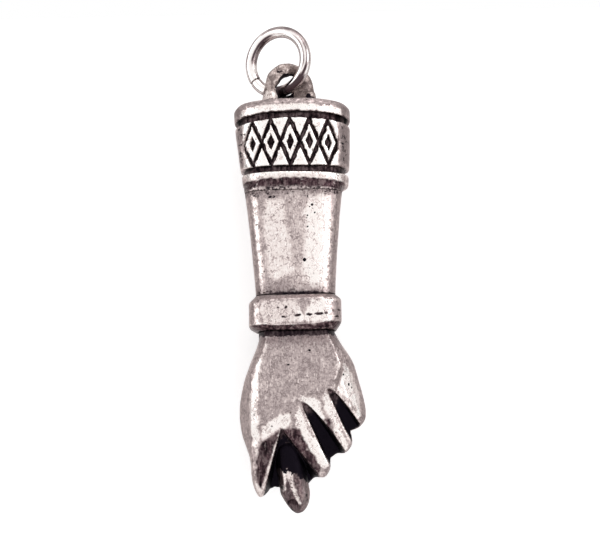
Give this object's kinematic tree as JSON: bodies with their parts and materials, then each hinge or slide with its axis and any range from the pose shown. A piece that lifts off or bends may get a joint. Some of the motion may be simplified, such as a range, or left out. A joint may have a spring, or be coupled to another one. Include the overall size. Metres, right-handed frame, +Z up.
{
  "type": "figa pendant",
  "caption": "Hanging charm in oxidised silver: a closed fist with the thumb pushed between the fingers, on a forearm with an ornamented cuff, hung by an eye and a jump ring.",
  "frame": {"origin": "inside of the jump ring at its top, where a chain bears; the charm hangs below it", "axes": "+Z up along the forearm, +Y from the back of the hand to the palm, +X to the right as seen from the back of the hand"},
  "size_m": [0.0127, 0.0086, 0.0488],
  "materials": {
    "bright_silver_wire": "polished silver wire",
    "dark_silver": "rough soldered silver, grey with tarnish",
    "oxidised_silver": "cast silver, blackened in the recesses and polished on the high places"
  },
  "bodies": {
    "ring": {"jump_ring": "bright_silver_wire"},
    "charm": {"suspension_eye": "dark_silver", "cuff_top": "oxidised_silver", "cuff_frieze": "oxidised_silver", "cuff_base": "oxidised_silver", "forearm": "oxidised_silver", "wrist_band": "oxidised_silver", "fist": "oxidised_silver"}
  },
  "joints": [
    {"name": "ring_swing", "type": "hinge", "parent": "ring", "child": "charm", "pos_m": [0, 0, -0.0026], "axis": [0.454, 0.891, 0], "range_deg": [-105, 150]}
  ]
}
